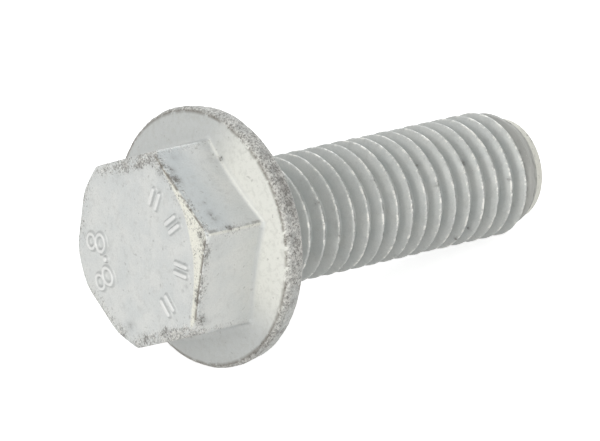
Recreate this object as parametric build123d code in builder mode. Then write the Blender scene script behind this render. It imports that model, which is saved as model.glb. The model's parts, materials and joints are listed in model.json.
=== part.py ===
from build123d import *
from math import atan2, cos, radians, sin, tan
import os

# Locking screw, M10 x 30: a hexagon head with a flange, locking teeth under the flange and
# a shank that is threaded up to the head. It is forged from one blank, so it is one solid.
# The shank has the outline of its thread: neck, run-out, outer diameter, tapered tip.
# The screw is modelled upright, with the bearing face at Z = 0, the head below and the shank
# above, and is then laid down as it comes to rest: on the flange's rim and on its last thread.

# Hexagon head
across_flats = 14.0
head_height = 7.8
hexagon_roll = 28.8  # angle of one corner about the screw's axis
corner_radius = 0.35
crown_radius = 7.25  # flat of the top, inside the bevelled corners
crown_bevel_angle = 50.0  # from the plane of the top
crown_edge_radius = 0.15
foot_fillet = 0.4  # between the hexagon and the flange

# Flange
flange_diameter = 20.0
flange_slope = 14.3  # of its upper face, from the bearing plane
rim_thickness = 1.8  # from the bearing plane to the corner of the upper face and the rim
rim_draft = 10.0  # how the rim narrows towards the bearing face
rim_rounding = 0.45
rim_chamfer = 0.35  # at the bearing face

# Bearing face with its locking teeth
tooth_count = 30
tooth_depth = 0.3
tooth_inner_radius = 6.4
smooth_ring_width = 1.1  # left outside the teeth, up to the rim
tooth_land_share = 0.25  # flat crest of a tooth, as a share of the tooth pitch
tooth_back_angle = 12.0  # steep side of a tooth, from the screw's axis
relief_depth = 0.35  # ring beside the shank that stays clear of the clamped part

# Shank
thread_diameter = 9.85  # over the crests, a little under the nominal 10
shank_length = 30.0
neck_diameter = 8.9
neck_length = 2.0
neck_chamfer = 0.4
run_out_angle = 30.0  # how the thread rises out of the neck, from the axis
tip_taper_length = 2.4  # from the last full thread to the end
tip_land_length = 0.7
tip_land_diameter = 8.2
tip_end_diameter = 7.9

flange_radius = flange_diameter / 2
thread_radius = thread_diameter / 2
neck_radius = neck_diameter / 2
taper_start = shank_length - tip_taper_length
land_start = shank_length - tip_land_length
overlap = 0.1  # how far a cutting shape reaches past the face that it cuts

# One gap between two locking teeth: a long slope that slides as the screw is tightened, and
# a steep side that bites when the screw would turn back
gap_inner_radius = tooth_inner_radius - relief_depth - overlap
gap_outer_radius = flange_radius - smooth_ring_width
back_run = tan(radians(tooth_back_angle))

with BuildPart() as tooth_gap:
    for radius in (gap_inner_radius, gap_outer_radius):
        gap_width = (1 - tooth_land_share) * radius * radians(360 / tooth_count)
        slope_width = gap_width - tooth_depth * back_run
        with BuildSketch(Plane(origin=(radius, 0, 0), x_dir=(0, 1, 0), z_dir=(1, 0, 0))):
            Polygon(
                (-slope_width * overlap / tooth_depth, overlap),
                (slope_width, -tooth_depth),
                (gap_width + overlap * back_run, overlap),
                align=None,
            )
    loft(ruled=True)

# Hexagon with rounded corners and a bevelled crown
bevel_width = across_flats / 2 / cos(radians(30)) - crown_radius + overlap
bevel_drop = bevel_width * tan(radians(crown_bevel_angle))

with BuildPart() as hexagon:
    with BuildSketch(Plane.XY.offset(-head_height)):
        RegularPolygon(across_flats / 2, 6, major_radius=False, rotation=hexagon_roll)
    extrude(amount=head_height - rim_thickness)
    fillet(hexagon.edges().filter_by(Axis.Z), radius=corner_radius)
    with BuildSketch(Plane.XZ):
        Polygon(
            (0, -head_height),
            (crown_radius, -head_height),
            (crown_radius + bevel_width, -head_height + bevel_drop),
            (crown_radius + bevel_width, 0),
            (0, 0),
            align=None,
        )
    revolve(axis=Axis.Z, mode=Mode.INTERSECT)
    fillet(hexagon.faces().sort_by(Axis.Z)[0].edges(), radius=crown_edge_radius)

# Corner of the rim before it is rounded, so that the rounded rim has the flange's diameter
rim_turn = radians(90 + rim_draft - flange_slope)
rounding_start = rim_rounding * tan(rim_turn / 2)  # from the corner, along either face
land_radius = flange_radius - rim_rounding * (1 - cos(radians(rim_draft)))
corner_radius_of_rim = land_radius + rounding_start * sin(radians(rim_draft))
rear_radius = corner_radius_of_rim - (rim_thickness - rim_chamfer) * tan(radians(rim_draft))

# Whole screw, upright: the flange and the shank are turned in one profile, which then takes
# the hexagon and the teeth
cone_tip_z = -rim_thickness - corner_radius_of_rim * tan(radians(flange_slope))
relief_outer = tooth_inner_radius - relief_depth
run_out_length = (thread_radius - neck_radius) / tan(radians(run_out_angle))

with BuildPart() as upright:
    with BuildSketch(Plane.XZ) as profile:
        Polygon(
            (0, cone_tip_z),
            (corner_radius_of_rim, -rim_thickness),
            (rear_radius, -rim_chamfer),
            (rear_radius - rim_chamfer, 0),
            (tooth_inner_radius, 0),
            (relief_outer, -relief_depth),
            (neck_radius + neck_chamfer, -relief_depth),
            (neck_radius, neck_chamfer - relief_depth),
            (neck_radius, neck_length),
            (thread_radius, neck_length + run_out_length),
            (thread_radius, taper_start),
            (tip_land_diameter / 2, land_start),
            (tip_end_diameter / 2, shank_length),
            (0, shank_length),
            align=None,
        )
        fillet(profile.vertices().sort_by(Axis.X)[-1], radius=rim_rounding)
    revolve(axis=Axis.Z)
    add(hexagon.part)
    fillet(upright.edges(Select.NEW), radius=foot_fillet)
    with PolarLocations(0, tooth_count):
        add(tooth_gap.part, mode=Mode.SUBTRACT)

# Laid down: the screw leans on its rim and on the last full thread, and is centred over the
# point that it is placed by
land_height = rounding_start * cos(radians(rim_draft)) - rim_thickness
rest_angle = atan2(land_radius - thread_radius, taper_start - land_height)

with BuildPart() as leaning:
    with Locations(Plane(origin=(0, 0, 0), x_dir=(0, 1, 0), z_dir=(cos(rest_angle), 0, -sin(rest_angle)))):
        add(upright.part)

box = leaning.part.bounding_box()

with BuildPart() as locking_screw:
    with Locations((-box.center().X, -box.center().Y, -box.min.Z)):
        add(leaning.part)

locking_screw.part.label = "locking_screw"
os.makedirs("parts", exist_ok=True)
export_step(locking_screw.part, "parts/locking_screw.step")
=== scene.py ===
import json
import math

import bpy
import numpy as np
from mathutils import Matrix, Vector


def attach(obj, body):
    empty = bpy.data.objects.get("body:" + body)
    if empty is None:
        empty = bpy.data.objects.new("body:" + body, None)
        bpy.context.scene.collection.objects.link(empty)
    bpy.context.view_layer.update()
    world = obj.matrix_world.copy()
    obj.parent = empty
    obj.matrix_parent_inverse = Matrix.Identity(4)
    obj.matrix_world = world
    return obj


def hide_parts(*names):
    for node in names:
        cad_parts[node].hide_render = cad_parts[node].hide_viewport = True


# Locking screw: a hexagon head with a flange, a thread up to the head and a plain grey coating.
# The mesh is worked out in millimetres about the screw's axis: the bearing face at z = 0, the
# head below, the tip at z = 30, and angles in degrees from the frame's +Y towards up. It is then
# laid where the CAD part lies and replaces it.

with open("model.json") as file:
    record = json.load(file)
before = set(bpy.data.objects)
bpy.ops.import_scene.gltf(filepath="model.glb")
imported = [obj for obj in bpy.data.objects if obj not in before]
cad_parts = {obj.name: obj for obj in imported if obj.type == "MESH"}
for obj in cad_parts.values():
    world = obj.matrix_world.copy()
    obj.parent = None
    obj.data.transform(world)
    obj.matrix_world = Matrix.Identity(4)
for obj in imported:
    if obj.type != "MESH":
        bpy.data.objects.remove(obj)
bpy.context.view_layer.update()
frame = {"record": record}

MM = 0.001
HEAD_ANGLES = 480  # samples round the head and the flange
THREAD_ANGLES = 160  # samples round the thread
SHARP_ANGLE = 58.0  # edges that turn by more are shown sharp

# Hexagon
FLAT_RADIUS = 7.0  # from the axis to a flat
HEX_ROLL = 28.8  # angle of one corner
CORNER_RADIUS = 0.3
UPPER_FLAT = 118.8  # angle of the flat that the photo shows above the near corner
RIGHT_FLAT = 178.8
WORN_CORNER = 148.8  # the near corner, between those two flats
WORN_CORNER_EXTRA = 0.15  # how much rounder that corner is at its top
WALL_ROWS = 21
WALL_WEAR_SHARE = 0.38  # part of the wall over which that corner gets its usual radius

# Top and bevelled crown
HEAD_TOP = -7.8
TOP_RADII = (0.5, 1.1, 1.6, 2.0, 2.2, 2.4, 2.7, 3.0)  # rings inside the marks
CROWN_RADIUS = 7.3
CROWN_ANGLE = 50.0  # from the plane of the top
CROWN_BLEND = 0.15  # the flat top turns into the bevel over this distance, either way
EDGE_RADIUS = 0.07  # between the bevel and the wall
LEAST_BEVEL = 0.25  # room for the bevel's rings where the bevel is hardly cut
FULL_CROWN_RADIUS = 7.75  # at the two corners that the bevel hardly cuts
FULL_CORNERS = (75.0, 160.0)  # angles that take in both of them
FULL_CORNERS_FADE = 22.0

# Worn bands on the top: how wide each is at places along its flat
WORN_BANDS = {
    UPPER_FLAT: (
        (-4.0, 0.0),
        (-1.0, 0.3),
        (0.1, 0.52),
        (1.1, 0.7),
        (1.9, 1.05),
        (2.4, 1.35),
        (3.0, 1.75),
        (4.0, 2.4),
    ),
    RIGHT_FLAT: (
        (-4.0, 2.3),
        (-3.7, 2.08),
        (-3.0, 1.74),
        (-2.2, 1.31),
        (-0.7, 0.9),
        (0.6, 0.72),
        (4.0, 0.6),
    ),
}
WORN_BAND_SLOPE = 3.0
WORN_BAND_BLEND = 0.12

# Marks on the top: a plain strength number on one side and pairs of plain bars on the other
MARK_RADII = (3.2, 6.15)
MARK_ROWS = 34
MARK_HEIGHT = 0.22
MARK_SIDE = (0.04, 0.27)  # its side falls from the first to the second distance from the stroke
DIGITS = (346.0, 313.0)  # angles of the two digits
DIGIT_RADIUS = 5.0
DIGIT_LOOPS = ((-0.53, 0.66, 0.5), (0.52, 0.56, 0.46))  # centre, half width and half height
POINT_ANGLE = 329.5
POINT_RADIUS = 4.15
POINT_SIZE = 0.1
BARS = (101.0, 132.0, 174.0, 216.0)  # angles of the pairs
BAR_RADIUS = 4.75
BAR_SPREAD = 0.36  # from the middle of the pair to a bar
BAR_HALF_LENGTH = 0.6
BAR_HALF_WIDTH = 0.06

# Flange
SLOPE = 14.3
RIM_THICKNESS = 1.8
RIM_DRAFT = 10.0
RIM_ROUNDING = 0.45
RIM_CHAMFER = 0.35
FLANGE_RADIUS = 10.0
RIM_LINE_RADIUS = 9.72  # where the upper face turns into the rim
FOOT = 0.26  # fillet between the hexagon and the flange

# Bearing face
TEETH = 30
TOOTH_DEPTH = 0.3
TOOTH_GAP_SHARE = 0.75
STEEP_SHARE = 0.06  # steep side of a tooth, as a share of the tooth pitch
TOOTH_INNER, TOOTH_OUTER = 6.4, 8.9
TOOTH_ROWS = 4
RELIEF = 0.35
NECK_RADIUS = 4.45
NECK_CHAMFER = 0.4

# Thread
PITCH = 1.5
CREST_RADIUS = 4.925
THREAD_DEPTH = 0.83
CREST_PHASE = 1.08  # height of the crest line at angle 0
CREST_HALF = 0.1
CREST_ROUNDING = 0.04
FLANK = math.radians(30)
THREAD_START = 2.0
THREAD_FADE = 1.5
THREAD_END_STEP = 0.05  # from the tip's outline down to where the grooves end on it
STRIP_START = 0.5  # the thread's own rings lie between these two heights
STRIP_END = 28.85

# Rings of one pitch, as heights from the crest line, with how much painted highlight and how much painted
# shade each gets
THREAD_ROWS = (-0.75, -0.64, -0.56, -0.35, -0.14, -0.07, 0.0, 0.07, 0.14, 0.35, 0.56, 0.64)
CREST_LIGHT = (0.0, 0.0, 0.0, 0.0, 0.1, 0.8, 1.0, 0.3, 0.0, 0.0, 0.0, 0.0)
CREST_SHADE = (0.0, 0.0, 0.0, 0.0, 0.0, 0.0, 0.2, 1.0, 0.5, 0.0, 0.0, 0.0)

# Tip
TAPER_START = 27.6
TAPER_FULLNESS = 1.2  # 1 is a straight taper
GROOVE_START = 29.0  # a thin dark groove round the tip
GROOVE_STEP = 0.05
GROOVE_DEPTH = 0.09
LAND_START = 29.3
LAND_RADIUS = 4.1
END_RADIUS = 3.95
LENGTH = 30.0

# Dark stains and knocks, seen in the photo. Each has its angle about the axis, then its place on
# the surface, its size in mm and its strength. The place is a radius on the top and on the
# flange's upper face, a height on a flat and on the rim, and on the thread a number of turns,
# which is whole on the crest.
TOP_STAINS = (
    (148, 7.3, 0.28, 0.9),
    (152, 7.5, 0.20, 0.8),
    (190, 6.8, 0.25, 1.0),
    (184, 6.7, 0.18, 0.7),
    (203, 7.7, 0.25, 0.8),
    (186, 5.5, 0.25, 0.6),
    (191, 5.3, 0.15, 0.6),
    (90, 7.2, 0.50, 0.5),
    (98, 7.0, 0.45, 0.6),
    (79, 6.6, 0.45, 0.5),
    (64, 6.2, 0.45, 0.4),
    (54, 5.9, 0.40, 0.3),
    (10, 2.2, 0.20, 0.5),
    (1, 2.2, 0.15, 0.5),
    (270, 6.1, 0.40, 0.7),
    (254, 6.6, 0.40, 0.5),
    (232, 6.3, 0.45, 0.5),
)
FLAT_STAINS = (
    (95, -6.2, 0.35, 0.6),
    (102, -7.0, 0.35, 0.7),
    (109, -7.2, 0.45, 0.9),
    (123, -4.1, 0.15, 0.4),
    (129, -6.2, 0.20, 0.8),
    (137, -6.3, 0.28, 1.0),
    (141, -6.2, 0.30, 0.8),
    (147, -5.5, 0.25, 1.0),
    (156, -6.6, 0.25, 0.4),
    (156, -3.9, 0.20, 0.3),
    (160, -7.6, 0.20, 0.5),
    (162, -6.3, 0.20, 0.3),
    (171, -5.1, 0.15, 0.4),
    (200, -7.2, 0.35, 0.7),
    (202, -6.9, 0.30, 0.6),
)
CONE_STAINS = (
    (103, 7.5, 0.25, 1.0),
    (213, 9.8, 0.30, 0.6),
    (219, 9.8, 0.30, 0.5),
)
RIM_STAINS = (
    (89, -1.2, 0.40, 0.4),
    (102, -1.3, 0.40, 0.4),
    (119, -1.0, 0.35, 0.5),
    (127, -1.0, 0.40, 0.7),
    (133, -0.9, 0.40, 0.9),
    (137, -0.8, 0.45, 1.0),
    (143, -0.8, 0.40, 0.9),
    (147, -0.8, 0.30, 0.7),
    (159, -1.1, 0.35, 0.5),
    (187, -1.0, 0.35, 0.4),
    (204, -0.8, 0.35, 0.6),
)
THREAD_STAINS = (
    (133, 13.6, 0.30, 1.0),
    (144, 13.7, 0.22, 1.0),
    (120, 10.05, 0.22, 1.0),
    (124, 10.65, 0.22, 1.0),
    (150, 10.9, 0.20, 1.0),
    (133, 7.05, 0.22, 1.0),
    (142, 3.0, 0.22, 1.0),
    (162, 3.0, 0.20, 1.0),
    (175, 4.0, 0.20, 1.0),
    (145, 15.05, 0.20, 1.0),
    (160, 15.9, 0.20, 1.0),
    (115, 15.7, 0.20, 1.0),
    (209, 13.75, 0.25, 1.0),
    (216, 12.9, 0.28, 1.0),
    (224, 9.05, 0.25, 1.0),
)
RIM_STAIN_RADIUS = 9.9

# Unevenness, in mm
RIM_DENTS = 0.03
CREST_DENTS = 0.02
CREST_WAVES = 0.035  # along the axis

random = np.random.RandomState(7)


def step(low, high, x):
    """0 below low, 1 above high and a smooth rise between them."""
    t = np.clip((x - low) / (high - low), 0, 1)
    return t * t * (3 - 2 * t)


def band(x, start, full, falling, end):
    """0 outside start..end, 1 between full and falling, and smooth on either side."""
    return step(start, full, x) * (1 - step(falling, end, x))


def near(distance, full, end):
    """1 up to the full distance, either way, falling to 0 at the end."""
    return 1 - step(full, end, np.abs(distance))


def ramp(x, reach):
    """0 well before x = 0, x well after it, and blended over the reach on either side."""
    return np.where(x < -reach, 0.0, np.where(x > reach, x, (x + reach) ** 2 / (4 * reach)))


def bend(t, start, middle, end):
    """Point at t of a curve that leaves the start and meets the end towards the middle."""
    return (1 - t) ** 2 * start + 2 * t * (1 - t) * middle + t ** 2 * end


def apart(angle, centre):
    """Signed angle from the centre, in degrees, between -180 and 180."""
    return (angle - centre + 180) % 360 - 180


def ripple(points, size, waves=28):
    """Smooth seeded unevenness of about this size in mm, mostly between -1 and 1."""
    total = np.zeros(len(points))
    for _ in range(waves):
        direction = random.normal(size=3)
        direction *= random.uniform(0.6, 1.6) / np.linalg.norm(direction)
        total += np.sin(points @ direction * (2 * math.pi / size) + random.uniform(0, 6.28))
    return total / math.sqrt(waves)


# Marks on the top
def bar_distance(a, b, across):
    """Distance from a bar that runs outwards at this place across the pair."""
    beyond_end = np.maximum(np.abs(b) - BAR_HALF_LENGTH, 0)
    return np.hypot(a - across, beyond_end) - BAR_HALF_WIDTH


def loop_distance(a, b, centre, half_width, half_height):
    """Distance from an oval stroke."""
    oval = np.hypot(a / half_width, (b - centre) / half_height)
    return np.abs(oval - 1) * min(half_width, half_height)


def mark_height(angle, radius):
    """How far the marks stand above the top."""
    nearest = np.full(np.shape(angle), 9.0)
    for place in DIGITS:
        turned = np.radians(apart(angle, place))
        a, b = radius * np.sin(turned), radius * np.cos(turned) - DIGIT_RADIUS
        for oval in DIGIT_LOOPS:
            nearest = np.minimum(nearest, loop_distance(a, b, *oval))
    turned = np.radians(apart(angle, POINT_ANGLE))
    point = np.hypot(radius * np.sin(turned), radius * np.cos(turned) - POINT_RADIUS)
    nearest = np.minimum(nearest, point - POINT_SIZE)
    for place in BARS:
        turned = np.radians(apart(angle, place))
        a, b = radius * np.sin(turned), radius * np.cos(turned) - BAR_RADIUS
        for across in (-BAR_SPREAD, BAR_SPREAD):
            nearest = np.minimum(nearest, bar_distance(a, b, across))
    return MARK_HEIGHT * (1 - step(*MARK_SIDE, nearest))


# Outlines of the head and the flange, by angle
theta = np.arange(HEAD_ANGLES) * 360 / HEAD_ANGLES
from_flat = (theta - HEX_ROLL) % 60 - 30


def hexagon_reach(corner_radius):
    """Distance from the axis to the hexagon's side in every direction, with rounded corners."""
    half_side = math.pi / 6
    phi = np.radians(np.abs(from_flat))
    flat = FLAT_RADIUS / np.cos(phi)
    centre = (FLAT_RADIUS - corner_radius) / math.cos(half_side)
    psi = half_side - phi
    inside = np.maximum(corner_radius ** 2 - (centre * np.sin(psi)) ** 2, 0)
    rounded = centre * np.cos(psi) + np.sqrt(inside)
    touch = np.arctan((FLAT_RADIUS - corner_radius) * math.tan(half_side) / FLAT_RADIUS)
    return np.where(phi > touch, rounded, flat)


hexagon = hexagon_reach(CORNER_RADIUS)
hexagon_top = hexagon_reach(CORNER_RADIUS + WORN_CORNER_EXTRA * near(apart(theta, WORN_CORNER), 3, 16))
full_corners = band(
    theta,
    FULL_CORNERS[0] - FULL_CORNERS_FADE,
    FULL_CORNERS[0],
    FULL_CORNERS[1],
    FULL_CORNERS[1] + FULL_CORNERS_FADE,
)
crown_radius = CROWN_RADIUS + (FULL_CROWN_RADIUS - CROWN_RADIUS) * full_corners

slope = math.radians(SLOPE)
draft = math.radians(RIM_DRAFT)
tangent = RIM_ROUNDING * math.tan(math.radians(90 + RIM_DRAFT - SLOPE) / 2)
land_radius = FLANGE_RADIUS - RIM_ROUNDING * (1 - math.cos(draft))
rim_corner = land_radius + tangent * math.sin(draft)
rear_radius = rim_corner - (RIM_THICKNESS - RIM_CHAMFER) * math.tan(draft)


def worn_band(angle, radius):
    """How far a point of the top lies inside the worn bands along two of its sides, in mm."""
    depth = np.full(np.broadcast(angle, radius).shape, -9.0)
    for flat, widths in WORN_BANDS.items():
        turned = np.radians(apart(angle, flat))
        inside = FLAT_RADIUS - radius * np.cos(turned)
        along, width = zip(*widths)
        depth = np.maximum(depth, np.interp(radius * np.sin(turned), along, width) - inside)
    return depth


def crown(radius):
    """Height of the top with its bevelled corners and worn bands."""
    bevel = math.tan(math.radians(CROWN_ANGLE)) * ramp(radius - crown_radius, CROWN_BLEND)
    worn = math.tan(math.radians(WORN_BAND_SLOPE)) * ramp(worn_band(theta, radius), WORN_BAND_BLEND)
    return HEAD_TOP + bevel + worn


def cone(radius):
    """Height of the flange's upper face."""
    return -RIM_THICKNESS - (rim_corner - radius) * math.tan(slope)


# Rings of the head and the flange, from the middle of the top to the neck
rows = []


def add_row(radius, height, edge=0.0, rim=0.0, foot=0.0, mark=0.0):
    """One ring: radius and height by angle, and how much it belongs to an edge, a mark and so on."""
    values = (radius, height, edge, rim, foot, mark)
    rows.append([np.broadcast_to(value, HEAD_ANGLES) for value in values])


for radius in TOP_RADII:
    add_row(radius, HEAD_TOP)
for radius in np.linspace(*MARK_RADII, MARK_ROWS):
    raised = mark_height(theta, radius)
    add_row(radius, crown(radius) - raised, mark=raised / MARK_HEIGHT)

# Bevel, with its edge
bevel_end = hexagon_top - EDGE_RADIUS
bevel_start = np.minimum(crown_radius - CROWN_BLEND, bevel_end - LEAST_BEVEL)
for share in (0.12, 0.25, 0.38, 0.5, 0.65, 0.82):
    radius = MARK_RADII[1] + (bevel_start - MARK_RADII[1]) * share
    add_row(radius, crown(radius), edge=0.1 * share)
for share in np.linspace(0, 1, 11):
    radius = bevel_start + (bevel_end - bevel_start) * share
    add_row(radius, crown(radius), edge=0.25 + 0.75 * share)
edge_height = crown(hexagon_top)
wall_start = edge_height + EDGE_RADIUS
for t in (0.25, 0.5, 0.75, 1.0):
    radius = bend(t, bevel_end, hexagon_top, hexagon_top)
    add_row(radius, bend(t, crown(bevel_end), edge_height, wall_start), edge=1.0)

# Wall, with the fillet at its foot
wall_end = cone(hexagon) - FOOT
at_corner = step(24, 29, np.abs(from_flat))
for share in np.linspace(0.03, 1.0, WALL_ROWS):
    radius = hexagon_top + (hexagon - hexagon_top) * step(0.0, WALL_WEAR_SHARE, share)
    height = wall_start + (wall_end - wall_start) * share
    add_row(radius, height, edge=np.maximum(1 - share * 9, 0.6 * at_corner))
foot_end = hexagon + FOOT
# The fillet's rings carry painted shade, most of it in the middle of the fillet.
for t in (0.2, 0.4, 0.6, 0.8, 1.0):
    height = bend(t, wall_end, cone(hexagon), cone(foot_end))
    add_row(bend(t, hexagon, hexagon, foot_end), height, foot=math.sin(math.pi * t))

# Flange's upper face and rim
cone_end = rim_corner - tangent * math.cos(slope)
for share in (0.12, 0.25, 0.4, 0.55, 0.7, 0.82, 0.92, 1.0):
    radius = foot_end + (cone_end - foot_end) * share
    add_row(radius, cone(radius), rim=0.25 * share ** 8)
arc_x = cone_end - RIM_ROUNDING * math.sin(slope)
arc_z = cone(cone_end) + RIM_ROUNDING * math.cos(slope)
for turned in np.radians(np.linspace(SLOPE - 90, RIM_DRAFT, 9))[1:]:
    add_row(arc_x + RIM_ROUNDING * math.cos(turned), arc_z + RIM_ROUNDING * math.sin(turned), rim=1.0)
land_height = tangent * math.cos(draft) - RIM_THICKNESS
for share in (0.2, 0.4, 0.6, 0.8, 1.0):
    radius = land_radius + (rear_radius - land_radius) * share
    add_row(radius, land_height + (-RIM_CHAMFER - land_height) * share, rim=1.0)
add_row(rear_radius - RIM_CHAMFER / 2, -RIM_CHAMFER / 2, rim=1.0)
add_row(rear_radius - RIM_CHAMFER, 0.0, rim=0.4)

# Bearing face, with its teeth and the relief beside the neck
tooth_pitch = 360 / TEETH
tooth_turn = theta % tooth_pitch / tooth_pitch
slope_share = TOOTH_GAP_SHARE - STEEP_SHARE
steep_side = np.clip((TOOTH_GAP_SHARE - tooth_turn) / STEEP_SHARE, 0, 1)
tooth = np.where(tooth_turn < slope_share, tooth_turn / slope_share, steep_side)
add_row(TOOTH_OUTER + 0.03, 0.0, edge=0.3)
for radius in np.linspace(TOOTH_OUTER, TOOTH_INNER, TOOTH_ROWS):
    add_row(radius, -TOOTH_DEPTH * tooth, edge=0.3)
add_row(TOOTH_INNER - RELIEF, -RELIEF)
add_row(NECK_RADIUS + NECK_CHAMFER, -RELIEF)
add_row(NECK_RADIUS, NECK_CHAMFER - RELIEF)

# Thread: every column climbs along the axis, and the last column of a turn meets the first
# column one pitch further up
per_pitch = len(THREAD_ROWS)
levels = (math.ceil((STRIP_END - CREST_PHASE) / PITCH) + 3) * per_pitch
level = np.arange(levels)
column_turn = np.arange(THREAD_ANGLES) / THREAD_ANGLES


def by_level(values):
    """A value for each ring of one pitch, repeated up the thread."""
    return np.array(values)[level % per_pitch][:, None]


thread_z = (
    CREST_PHASE
    - PITCH
    + PITCH * column_turn[None, :]
    + PITCH * (level // per_pitch)[:, None]
    + by_level(THREAD_ROWS)
)
beyond_crest = by_level(THREAD_ROWS) + np.zeros(THREAD_ANGLES)


def taper(z):
    """Outline of the tip, slightly full, which the crests don't pass."""
    share = np.clip((z - TAPER_START) / (LAND_START - TAPER_START), 0, 1)
    return CREST_RADIUS + (LAND_RADIUS - CREST_RADIUS) * share ** TAPER_FULLNESS


def thread_radius(z, s):
    """Distance from the axis, s from the crest line along the axis; the groove ends on the tip."""
    rounded = CREST_ROUNDING * (np.minimum(s, CREST_HALF) / CREST_HALF) ** 2
    depth = np.minimum(rounded + np.maximum(s - CREST_HALF, 0) / math.tan(FLANK), THREAD_DEPTH)
    plain = taper(z) - THREAD_END_STEP
    groove = 1 - step(TAPER_START + 0.1, TAPER_START + 1.0, z)
    cut = plain + (CREST_RADIUS - depth - plain) * groove
    risen = step(THREAD_START, THREAD_START + THREAD_FADE, z)
    return np.minimum(NECK_RADIUS + (cut - NECK_RADIUS) * risen, taper(z))


below_strip = thread_z <= STRIP_START
above_strip = thread_z >= STRIP_END
free = ~(below_strip | above_strip)
thread_r = thread_radius(thread_z, np.abs(beyond_crest))
column = 2 * math.pi * column_turn[None, :]
thread_grid = np.stack([thread_r * np.cos(column), thread_r * np.sin(column), thread_z], -1)

# Masks of the thread, for the coating: a painted highlight on the crests, painted shade beside them and in
# the roots, and painted light on the flanks that face the head
formed = band(thread_z, THREAD_START + 0.4, THREAD_START + 1.2, TAPER_START + 0.2, TAPER_START + 0.9)
# Painted highlight along the crests; the same mask also dents and waves them.
crest = by_level(CREST_LIGHT) * formed
# Painted shade just beside each crest, on its side towards the tip.
shade = by_level(CREST_SHADE) * formed
# Painted shade in the roots, just behind each crest.
root = step(0.60, 0.68, np.abs(beyond_crest)) * formed
# Painted light on the flanks that face the head, growing towards the crest.
flank = np.clip(1 + beyond_crest / 0.6, 0, 1) * (beyond_crest <= 0) * formed

# One list of points: the middle of the top, the head's rings, the thread's own points, its first
# and last ring, the rings of the tip and the middle of the end
groups = []
faces = []


def add_points(places, **masks):
    """Adds points with the masks given for them, and returns their indices."""
    first = sum(len(group["places"]) for group in groups)
    groups.append({"places": places, **masks})
    return first + np.arange(len(places))


def add_ring(radius, z, edge=0.0, shade=0.0):
    """Adds a plain ring of the shank, and returns its indices."""
    circle = np.stack([np.cos(column[0]), np.sin(column[0])], -1)
    return add_points(np.column_stack([circle * radius, np.full(THREAD_ANGLES, z)]), edge=edge, shade=shade)


def mask(name):
    """One mask for all points, 0 where none was given."""
    return np.concatenate([np.broadcast_to(group.get(name, 0.0), len(group["places"])) for group in groups])


radius, height, edge, rim, foot, mark = np.array(rows).transpose(1, 0, 2)
around = np.radians(theta)
head_points = np.stack([radius * np.cos(around), radius * np.sin(around), height], -1).reshape(-1, 3)

top_middle = add_points(np.array([[0.0, 0.0, HEAD_TOP]]))[0]
head = add_points(head_points, edge=edge.ravel(), rim=rim.ravel(), foot=foot.ravel(), mark=mark.ravel())
head = head.reshape(len(rows), HEAD_ANGLES)
strip = np.zeros(thread_z.shape, int)
strip[free] = add_points(
    thread_grid[free],
    crest=crest[free],
    shade=shade[free],
    root=root[free],
    flank=flank[free],
)
first_ring = add_ring(NECK_RADIUS, STRIP_START)
last_ring = add_ring(taper(STRIP_END), STRIP_END)
strip[below_strip] = np.broadcast_to(first_ring, thread_z.shape)[below_strip]
strip[above_strip] = np.broadcast_to(last_ring, thread_z.shape)[above_strip]

# Faces of the head and the flange
for j in range(HEAD_ANGLES):
    k = (j + 1) % HEAD_ANGLES
    faces.append((top_middle, head[0, k], head[0, j]))
    for inner, outer in zip(head[:-1], head[1:]):
        faces.append((inner[j], inner[k], outer[k], outer[j]))

# Faces between the neck's ring and the thread's first ring, which has fewer points
ratio = HEAD_ANGLES // THREAD_ANGLES
for j in range(THREAD_ANGLES):
    k = (j + 1) % THREAD_ANGLES
    outer = [head[-1, (j * ratio + i) % HEAD_ANGLES] for i in range(ratio + 1)]
    faces.append((outer[0], outer[1], first_ring[j]))
    faces.append((outer[1], outer[2], first_ring[k], first_ring[j]))
    faces.append((outer[2], outer[3], first_ring[k]))

# Faces of the thread
for q in range(levels - 1):
    for j in range(THREAD_ANGLES):
        if j < THREAD_ANGLES - 1:
            corners = (strip[q, j], strip[q, j + 1], strip[q + 1, j + 1], strip[q + 1, j])
        elif q + per_pitch + 1 < levels:
            above = q + per_pitch
            corners = (strip[q, j], strip[above, 0], strip[above + 1, 0], strip[q + 1, j])
        else:
            continue
        kept = tuple(dict.fromkeys(corners))
        if len(kept) > 2:
            faces.append(kept)

# Tip: radius, height, wear and painted shade of each ring, with painted shade in a groove before the last
# band
previous = last_ring
for radius, z, worn, groove_shade in (
    (taper(GROOVE_START), GROOVE_START, 0.0, 0.6),
    (taper(GROOVE_START + GROOVE_STEP) - GROOVE_DEPTH, GROOVE_START + GROOVE_STEP, 0.0, 1.0),
    (taper(GROOVE_START + 2 * GROOVE_STEP) - GROOVE_DEPTH, GROOVE_START + 2 * GROOVE_STEP, 0.0, 1.0),
    (taper(GROOVE_START + 0.16), GROOVE_START + 0.16, 0.3, 0.3),
    (LAND_RADIUS, LAND_START, 0.3, 0.0),
    (END_RADIUS + 0.03, LENGTH - 0.12, 0.5, 0.0),
    (END_RADIUS - 0.02, LENGTH - 0.03, 1.0, 0.0),
    (END_RADIUS - 0.12, LENGTH, 0.8, 0.0),
    (END_RADIUS - 0.6, LENGTH, 0.2, 0.0),
    (2.0, LENGTH, 0.0, 0.0),
):
    current = add_ring(radius, z, worn, groove_shade)
    for j in range(THREAD_ANGLES):
        k = (j + 1) % THREAD_ANGLES
        faces.append((previous[j], previous[k], current[k], current[j]))
    previous = current
end_middle = add_points(np.array([[0.0, 0.0, LENGTH]]))[0]
for j in range(THREAD_ANGLES):
    faces.append((previous[j], previous[(j + 1) % THREAD_ANGLES], end_middle))

points = np.concatenate([group["places"] for group in groups])
masks = {name: mask(name) for name in ("edge", "rim", "foot", "mark", "crest", "shade", "root", "flank")}

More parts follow.
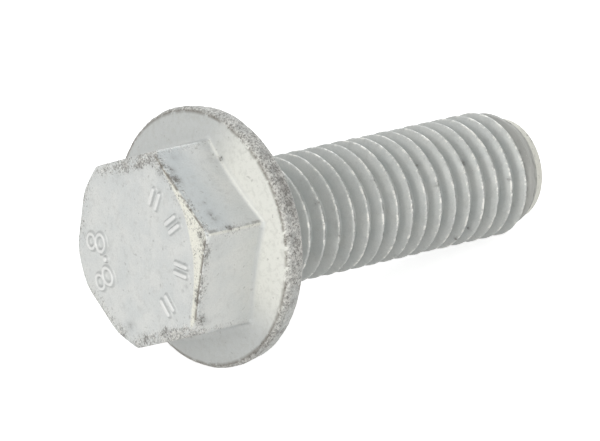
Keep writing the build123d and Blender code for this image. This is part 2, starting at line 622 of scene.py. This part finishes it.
# Unevenness: a handled rim and worn crests
reach = np.hypot(points[:, 0], points[:, 1])
outward = points[:, :2] / np.maximum(reach, 1e-6)[:, None]
angle = np.degrees(np.arctan2(points[:, 1], points[:, 0])) % 360
uneven = ripple(points, 1.6) * 0.5 + ripple(points, 0.7) * 0.5
inward = RIM_DENTS * masks["rim"] * np.clip(0.4 + uneven, 0, 2)
inward += CREST_DENTS * masks["crest"] * np.clip(ripple(points, 1.1), 0, 2) ** 2
points[:, :2] -= outward * inward[:, None]
points[:, 2] += CREST_WAVES * masks["crest"] * np.clip(ripple(points, 0.9), -1.5, 1.5)
z = points[:, 2]

# Where each point lies on the head: its nearest flat, how far it is inside that flat or, along
# its own direction from the axis, outside it
flats = np.arange(6) * 60 + HEX_ROLL + 30
from_side = FLAT_RADIUS - np.max(reach[:, None] * np.cos(np.radians(angle[:, None] - flats)), axis=1)
nearest_flat = flats[np.argmin(np.abs(apart(angle[:, None], flats)), axis=1)]
past_side = reach - FLAT_RADIUS / np.cos(np.radians(apart(angle, nearest_flat)))
beside_worn_corner = np.isin(nearest_flat.round(1), (UPPER_FLAT, RIGHT_FLAT))
on_top = 1 - step(-7.35, -6.9, z)
top_face = 1 - step(-7.74, -7.6, z)
below_top = step(-7.75, -7.6, z)
on_corner = below_top * (1 - step(-2.6, -2.3, z)) * step(7.9, 7.94, reach)
on_cone = step(0.02, 0.45, past_side) * (1 - step(-1.9, -1.5, z))

# Wear of the edges: specks all round the top, most of them away from the two near flats
wear_by_angle = np.interp(
    angle,
    (0, 30, 60, 95, 200, 270, 290, 330, 360),
    (0.4, 0.6, 0.8, 1, 1, 1, 0.6, 0.35, 0.4),
)
masks["edge"] = np.maximum(masks["edge"], on_top * (1 - step(0.0, 1.5, from_side)) * 0.8)
masks["broad_wear"] = on_top * (1 - step(0.5, 1.5, from_side)) * ~beside_worn_corner * wear_by_angle
calmer = band(angle, 172, 192, 262, 290) * step(-1.4, -1.1, z)
masks["rim"] *= 1 - 0.45 * calmer

# Thin dark lines: on the top beside the two near flats, round the cone, and beside the corner
line_place = np.where(np.abs(apart(angle, RIGHT_FLAT)) < 30, 0.2, 0.03)
top_line = top_face * beside_worn_corner * near(from_side - line_place, 0.04, 0.15)
rim_line = (z < -1.3) * near(reach - RIM_LINE_RADIUS, 0.04, 0.14)
corner_line = on_corner * near(apart(angle, WORN_CORNER - 1.5), 0.3, 0.9)
masks["edge_line"] = np.maximum.reduce([top_line, 0.8 * rim_line, 0.6 * corner_line])

# Bare cream metal on the worn bands, the near corner and the tip's last band, and a painted highlight along
# the upper flat's foot
upper_foot = (np.abs(apart(angle, UPPER_FLAT)) < 29) * (z > -4.2) * (z < -1.3)
masks["cream"] = np.maximum.reduce([
    top_face * step(-0.04, 0.08, worn_band(angle, reach)) * step(-0.06, 0.02, from_side - line_place),
    0.75 * on_corner * near(apart(angle, WORN_CORNER), 0.2, 0.9),
    0.75 * step(29.1, 29.25, z) * step(END_RADIUS - 0.3, END_RADIUS - 0.1, reach),
    # Painted highlight along the foot of the upper flat.
    0.4 * upper_foot * band(past_side, 0.02, 0.08, 0.14, 0.26),
])

# Tones of the coating on the shank and the tip, with painted light on one side of the cone and on the right
# flat, painted shade on the rest of the cone and, with a cool tint, on the upper flat, and a soft line of
# painted shade at the foot of each flat
right_wall = band(z, -7.75, -7.6, -2.9, -2.4) * (reach < 8.3) * (np.abs(apart(angle, RIGHT_FLAT)) < 29.5)
# Painted light on one side of the cone and, more weakly, on the right flat.
masks["lit_side"] = np.maximum(on_cone * near(apart(angle, 150), 34, 64), 0.2 * right_wall)
upper_wall = below_top * (1 - step(0.25, 0.35, from_side)) * (np.abs(apart(angle, UPPER_FLAT)) < 29.5)
# Painted shade with a cool tint on the upper part of the upper flat.
masks["shaded_flat"] = upper_wall * (1 - step(-6.4, -3.4, z))
masks["cone"] = on_cone
masks["shank"] = step(0.0, 0.6, z)
masks["tip"] = step(27.2, 28.4, z) * (1 - 0.5 * step(29.1, 29.2, z))
# The painted shade at the foot is taken off the upper flat and strengthened at the right flat.
masks["foot"] *= 1 - upper_foot + 1.3 * (np.abs(apart(angle, RIGHT_FLAT)) < 28)

# Stains and knocks, each fading out round its middle
masks["stain"] = np.zeros(len(points))


def add_stain(turned, radius, height, size, strength):
    """Darkens the points near this place."""
    turned = math.radians(turned)
    spot = np.array([radius * math.cos(turned), radius * math.sin(turned), height])
    fading = np.exp(-np.sum((points - spot) ** 2, axis=1) / size ** 2)
    masks["stain"] = np.maximum(masks["stain"], strength * fading)


for turned, radius, size, strength in TOP_STAINS:
    add_stain(turned, radius, HEAD_TOP, size, strength)
for turned, height, size, strength in FLAT_STAINS:
    from_middle = (turned - HEX_ROLL) % 60 - 30
    add_stain(turned, FLAT_RADIUS / math.cos(math.radians(from_middle)), height, size, strength)
for turned, radius, size, strength in CONE_STAINS:
    add_stain(turned, radius, cone(radius), size, strength)
for turned, height, size, strength in RIM_STAINS:
    add_stain(turned, RIM_STAIN_RADIUS, height, size, strength)
for turned, turns_up, size, strength in THREAD_STAINS:
    height = CREST_PHASE + PITCH * (turned / 360 + turns_up)
    radius = thread_radius(height, PITCH * abs(turns_up - round(turns_up)))
    add_stain(turned, radius, height, size, strength)

# Laid down where the CAD part lies
mounts = {mount["name"]: mount for mount in frame["record"]["mounts"]}
axis = Vector(mounts["bearing_face"]["axis"]).normalized()
place = mounts["bearing_face"]["pos_m"]
origin = np.array([place[0], 0.0, place[2]])
side = Vector((0, 1, 0))
upward = axis.cross(side)
laid = origin + MM * (points @ np.array([side, upward, axis]))

mesh = bpy.data.meshes.new("locking_screw_visual")
mesh.from_pydata(laid.tolist(), [], [tuple(int(i) for i in face) for face in faces])
for name, values in masks.items():
    mesh.attributes.new(name, "FLOAT", "POINT").data.foreach_set("value", values.astype(np.float32))
mesh.validate()
mesh.shade_smooth()
mesh.set_sharp_from_angle(angle=math.radians(SHARP_ANGLE))
screw = bpy.data.objects.new("locking_screw_visual", mesh)
bpy.context.scene.collection.objects.link(screw)
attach(screw, "root")
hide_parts("locking_screw")

# Colours of the coating, of its wear and dirt, and of painted light and shade
HEAD_GREYS = (0.66, 0.68, 0.67), (0.72, 0.73, 0.71)
THREAD_GREYS = (0.51, 0.535, 0.525), (0.555, 0.57, 0.55)
SHADED_CONE_GREY = (0.56, 0.575, 0.565)
SHADED_FLAT_GREY = (0.53, 0.575, 0.59)
RIM_GREY = (0.50, 0.50, 0.475)
LIT_FLANK_GREY = (0.69, 0.70, 0.675)
TIP_GREY = (0.43, 0.43, 0.405)
GRAIN_GREY = (0.42, 0.43, 0.42)
SMUDGE_GREY = (0.40, 0.40, 0.38)
LIT_CREAM = (0.81, 0.81, 0.755)
BARE_AND_HIGHLIT_CREAM = (0.86, 0.85, 0.75)
MOTTLE_GREY = (0.47, 0.47, 0.43)
PIT_GREY = (0.25, 0.24, 0.22)
STAIN_GREY = (0.33, 0.34, 0.34)
STAIN_BROWN = (0.17, 0.15, 0.13)
BLOTCH_GREY = (0.27, 0.27, 0.255)
RUBBED_GREY = (0.34, 0.335, 0.32)
SPECK_BROWN = (0.13, 0.12, 0.105)
BARED_METAL = (0.84, 0.83, 0.79)
LINE_BROWN = (0.16, 0.14, 0.115)
FOOT_SHADE_GREY = (0.35, 0.36, 0.35)
MARK_SHADE = (0.33, 0.34, 0.34)
MARK_HIGHLIGHT = (0.88, 0.88, 0.86)
ROOT_SHADE = (0.12, 0.115, 0.10)
SHADE_LINE_GREY = (0.10, 0.095, 0.08)
CREST_SHINE = (0.95, 0.94, 0.88)


def new_tree(name):
    """An empty material of this name, and its node tree."""
    material = bpy.data.materials.new(name)
    material.use_nodes = True
    material.node_tree.nodes.clear()
    return material, material.node_tree


def node(tree, kind, sockets=None, **settings):
    """One node with its settings; a socket takes a value or another node's output."""
    made = tree.nodes.new(kind)
    for name, value in settings.items():
        setattr(made, name, value)
    for name, value in (sockets or {}).items():
        if isinstance(value, bpy.types.NodeSocket):
            tree.links.new(value, made.inputs[name])
        else:
            made.inputs[name].default_value = value
    return made


coating, tree = new_tree("zinc_flake_coating")


def maths(operation, a, b=0.0):
    """The result of one Math node."""
    return node(tree, "ShaderNodeMath", {0: a, 1: b}, operation=operation).outputs[0]


def times(a, b):
    """Product of two values."""
    return maths("MULTIPLY", a, b)


def rest_of(value):
    """What is left of 1."""
    return maths("SUBTRACT", 1.0, value)


def between(value, low, high, start=0.0, end=1.0):
    """The value taken from low..high to start..end, held at both."""
    sockets = {"Value": value, "From Min": low, "From Max": high, "To Min": start, "To Max": end}
    return node(tree, "ShaderNodeMapRange", sockets, interpolation_type="SMOOTHSTEP").outputs[0]


def mix(share, a, b):
    """Colour between a and b; a Mix node has its colours in inputs 6 and 7 and in output 2."""
    made = node(tree, "ShaderNodeMix", {0: share}, data_type="RGBA")
    for socket, value in ((made.inputs[6], a), (made.inputs[7], b)):
        if isinstance(value, bpy.types.NodeSocket):
            tree.links.new(value, socket)
        else:
            socket.default_value = (*value, 1)
    return made.outputs[2]


def attribute(name):
    """One of the mesh's masks."""
    return node(tree, "ShaderNodeAttribute", attribute_name=name).outputs["Fac"]


coordinates = node(tree, "ShaderNodeTexCoord").outputs["Object"]
millimetres = node(tree, "ShaderNodeVectorMath", {0: coordinates, 3: 1 / MM}, operation="SCALE").outputs[0]


def noise(scale, detail=3.0, roughness=0.55):
    """Noise with this many features per mm."""
    sockets = {"Vector": millimetres, "Scale": scale, "Detail": detail, "Roughness": roughness}
    return node(tree, "ShaderNodeTexNoise", sockets).outputs["Fac"]


grain = noise(9.0, 4.0, 0.65)
patches = between(noise(0.5, 3.0), 0.35, 0.65)
specks = noise(6.4, 5.0, 0.8)
flecks = noise(5.3, 5.0, 0.78)
clusters = between(between(noise(1.0, 3.0), 0.36, 0.62), 0.0, 1.0, 0.65, 1.15)
smudges = between(noise(1.8, 5.0, 0.7), 0.50, 0.66, 0.0, 0.22)
mottling = between(noise(2.6, 5.0, 0.7), 0.45, 0.66)
pits = between(noise(2.3, 2.0, 0.5), 0.68, 0.73)
blotches = between(noise(2.6, 4.0, 0.7), 0.48, 0.62)
rim, cream, stain, shank, mark = (attribute(name) for name in ("rim", "cream", "stain", "shank", "mark"))

# Coating, part by part, with painted shade on the cone and the upper flat and painted light on the thread's
# flanks that face the head
tone = mix(patches, *HEAD_GREYS)
# Painted shade: the cone is darker except on its lit side.
tone = mix(attribute("cone"), tone, SHADED_CONE_GREY)
# Painted shade with a cool tint on the upper flat.
tone = mix(times(attribute("shaded_flat"), 0.6), tone, SHADED_FLAT_GREY)
tone = mix(shank, tone, mix(patches, *THREAD_GREYS))
tone = mix(times(rim, 0.85), tone, RIM_GREY)
# Painted light on the thread's flanks that face the head.
tone = mix(times(attribute("flank"), 0.6), tone, LIT_FLANK_GREY)
tone = mix(attribute("tip"), tone, TIP_GREY)
tone = mix(between(grain, 0.35, 0.7, 0.0, 0.22), tone, GRAIN_GREY)
tone = mix(smudges, tone, SMUDGE_GREY)
# Painted light on the cone's lit side and on the right flat.
tone = mix(times(attribute("lit_side"), 0.9), tone, LIT_CREAM)
# Bare worn metal, and a painted highlight along the upper flat's foot.
tone = mix(times(cream, 0.85), tone, BARE_AND_HIGHLIT_CREAM)
tone = mix(times(times(attribute("cone"), mottling), 0.28), tone, MOTTLE_GREY)
tone = mix(times(times(pits, rest_of(shank)), 0.35), tone, PIT_GREY)

# Stains
tone = mix(times(stain, 0.5), tone, STAIN_GREY)
deep = times(between(stain, 0.5, 0.95), between(specks, 0.38, 0.56))
tone = mix(times(deep, 0.65), tone, STAIN_BROWN)
tone = mix(times(times(rim, blotches), 0.45), tone, BLOTCH_GREY)

# Wear: rubbed spots, dark specks and bare flecks, where the masks and the stains allow them
worn = maths("MAXIMUM", times(attribute("edge"), 0.8), rim)
worn = maths("MAXIMUM", worn, times(cream, 0.55))
worn = maths("MAXIMUM", worn, attribute("broad_wear"))
worn = times(worn, clusters)
stained = maths("ADD", worn, times(stain, 0.8))
rubbed = between(maths("ADD", specks, times(stained, 0.23)), 0.58, 0.78)
specked = between(maths("ADD", specks, times(stained, 0.215)), 0.66, 0.75)
bared = between(maths("ADD", flecks, times(worn, 0.16)), 0.62, 0.72)
bared = times(bared, rest_of(times(stain, 0.7)))
tone = mix(times(rubbed, 0.42), tone, RUBBED_GREY)
tone = mix(times(specked, 0.65), tone, SPECK_BROWN)
tone = mix(times(bared, 0.65), tone, BARED_METAL)

# Lines on the edges, painted shade at the foot of the flats, and painted shade round the raised marks with
# a painted highlight on them
drawn = times(attribute("edge_line"), between(noise(1.3, 4.0, 0.6), 0.38, 0.5))
tone = mix(times(drawn, 0.75), tone, LINE_BROWN)
# Painted shade in the fillet at the foot of the flats.
tone = mix(times(attribute("foot"), 0.2), tone, FOOT_SHADE_GREY)
# Painted shade round the sides of the raised marks and a painted highlight on their tops.
beside_mark = times(times(mark, rest_of(mark)), 4.0)
tone = mix(times(beside_mark, 0.42), tone, MARK_SHADE)
tone = mix(between(mark, 0.7, 1.0, 0.0, 0.55), tone, MARK_HIGHLIGHT)

# Painted shade in the roots of the thread and beside its crests, and a painted highlight on the crests,
# which are also worn smoother
# Painted shade in the roots, broken up by noise.
root_shade = times(attribute("root"), between(noise(1.6, 3.0), 0.36, 0.62))
tone = mix(times(root_shade, 0.5), tone, ROOT_SHADE)
# Painted shade in broken lines beside the crests and in the tip's groove.
shade_lines = times(attribute("shade"), between(noise(1.9, 5.0, 0.7), 0.49, 0.57))
tone = mix(times(shade_lines, 0.68), tone, SHADE_LINE_GREY)
# Painted highlight on the crests, which are also worn smoother.
shine = times(attribute("crest"), between(noise(1.4, 5.0, 0.8), 0.49, 0.58))
tone = mix(times(shine, 0.9), tone, CREST_SHINE)

# Roughness and fine relief
roughness = maths("ADD", 0.46, times(grain, 0.14))
roughness = maths("SUBTRACT", roughness, times(shine, 0.2))
roughness = maths("ADD", roughness, times(specked, 0.15))
relief = maths("SUBTRACT", times(grain, 0.4), times(specked, 0.9))
relief = maths("SUBTRACT", relief, times(stain, 0.8))
relief = maths("ADD", relief, times(noise(2.4, 3.0), 0.7))
bump = node(tree, "ShaderNodeBump", {"Height": relief, "Strength": 0.45, "Distance": 0.03 * MM}).outputs[0]
sockets = {"Base Color": tone, "Metallic": 0.35, "Roughness": roughness, "Normal": bump}
shader = node(tree, "ShaderNodeBsdfPrincipled", sockets)
node(tree, "ShaderNodeOutputMaterial", {"Surface": shader.outputs[0]})
mesh.materials.append(coating)

# Pale floor and white surroundings, which the camera and reflections see as white
FLOOR_HALF = 2.5  # in metres
FLOOR_GREY = (0.30, 0.30, 0.30, 1)  # as it lights the object
FLOOR_WHITE = (0.86, 0.86, 0.86, 1)  # as it is seen
FLOOR_GLOW = 0.7  # as it is seen
AMBIENT = 0.59  # strength of the surroundings as light; they are seen at strength 1


def seen(tree):
    """1 for what the camera or a reflection sees, 0 for light on the scene."""
    path = node(tree, "ShaderNodeLightPath").outputs
    sockets = {0: path["Is Camera Ray"], 1: path["Is Glossy Ray"]}
    either = node(tree, "ShaderNodeMath", sockets, operation="MAXIMUM").outputs[0]
    sockets = {0: either, 1: path["Is Transmission Ray"]}
    return node(tree, "ShaderNodeMath", sockets, operation="MAXIMUM").outputs[0]


def add_floor():
    """The floor, which keeps the object's shadow."""
    material, tree = new_tree("pale_floor")
    shown = seen(tree)
    paint = node(tree, "ShaderNodeMix", {0: shown}, data_type="RGBA")
    paint.inputs[6].default_value = FLOOR_GREY
    paint.inputs[7].default_value = FLOOR_WHITE
    matt = node(tree, "ShaderNodeBsdfDiffuse", {"Color": paint.outputs[2]})
    strength = node(tree, "ShaderNodeMath", {0: shown, 1: FLOOR_GLOW}, operation="MULTIPLY")
    glow = node(tree, "ShaderNodeEmission", {"Strength": strength.outputs[0]})
    both = node(tree, "ShaderNodeAddShader", {0: matt.outputs[0], 1: glow.outputs[0]})
    node(tree, "ShaderNodeOutputMaterial", {"Surface": both.outputs[0]})
    corners = [(x * FLOOR_HALF, y * FLOOR_HALF, 0) for x, y in ((-1, -1), (1, -1), (1, 1), (-1, 1))]
    floor_mesh = bpy.data.meshes.new("floor")
    floor_mesh.from_pydata(corners, [], [(0, 1, 2, 3)])
    floor_mesh.materials.append(material)
    floor = bpy.data.objects.new("floor", floor_mesh)
    bpy.context.scene.collection.objects.link(floor)


def add_surroundings():
    """An even white world."""
    world = bpy.data.worlds.new("surroundings")
    world.use_nodes = True
    tree = world.node_tree
    tree.nodes.clear()
    extra = node(tree, "ShaderNodeMath", {0: seen(tree), 1: 1 - AMBIENT}, operation="MULTIPLY")
    level = node(tree, "ShaderNodeMath", {0: extra.outputs[0], 1: AMBIENT}, operation="ADD")
    sky = node(tree, "ShaderNodeBackground", {"Color": (1, 1, 1, 1), "Strength": level.outputs[0]})
    node(tree, "ShaderNodeOutputWorld", {"Surface": sky.outputs[0]})
    bpy.context.scene.world = world


add_floor()
add_surroundings()

# Soft lamps, aimed at the object: where each hangs in metres, its power in watts and its colour
LAMP_WIDTH = 0.30
LAMPS = {
    "left": ((-0.55, -0.10, 0.22), 1.16, (1.0, 0.995, 0.98)),
    "side": ((-0.08, -0.58, 0.07), 0.84, (1.0, 0.99, 0.97)),
    "behind": ((0.35, 0.35, 0.35), 0.85, (0.93, 0.97, 1.0)),
}
for name, (spot, power, colour) in LAMPS.items():
    lamp = bpy.data.lights.new("lamp_" + name, "AREA")
    lamp.shape = "SQUARE"
    lamp.size = LAMP_WIDTH
    lamp.energy = power
    lamp.color = colour
    lamp_object = bpy.data.objects.new("lamp_" + name, lamp)
    lamp_object.location = spot
    lamp_object.rotation_euler = (-Vector(spot)).to_track_quat("-Z", "Y").to_euler()
    bpy.context.scene.collection.objects.link(lamp_object)

# Camera, fitted to the photo: place and direction in metres, lens and sensor in mm
CAMERA_PLACE = (-0.261776, -0.300401, 0.234427)
CAMERA_DIRECTION = (0.56717464, 0.65744093, -0.4960689)
CAMERA_LENS = 359.93
CAMERA_SENSOR = 36.0
CAMERA_NEAREST = 0.01
camera = bpy.data.cameras.new("camera")
camera.lens = CAMERA_LENS
camera.sensor_width = CAMERA_SENSOR
camera.sensor_fit = "HORIZONTAL"
camera.clip_start = CAMERA_NEAREST
camera_object = bpy.data.objects.new("camera", camera)
camera_object.location = CAMERA_PLACE
camera_object.rotation_euler = Vector(CAMERA_DIRECTION).to_track_quat("-Z", "Y").to_euler()
bpy.context.scene.collection.objects.link(camera_object)
bpy.context.scene.camera = camera_object
bpy.context.scene.view_settings.view_transform = "Standard"
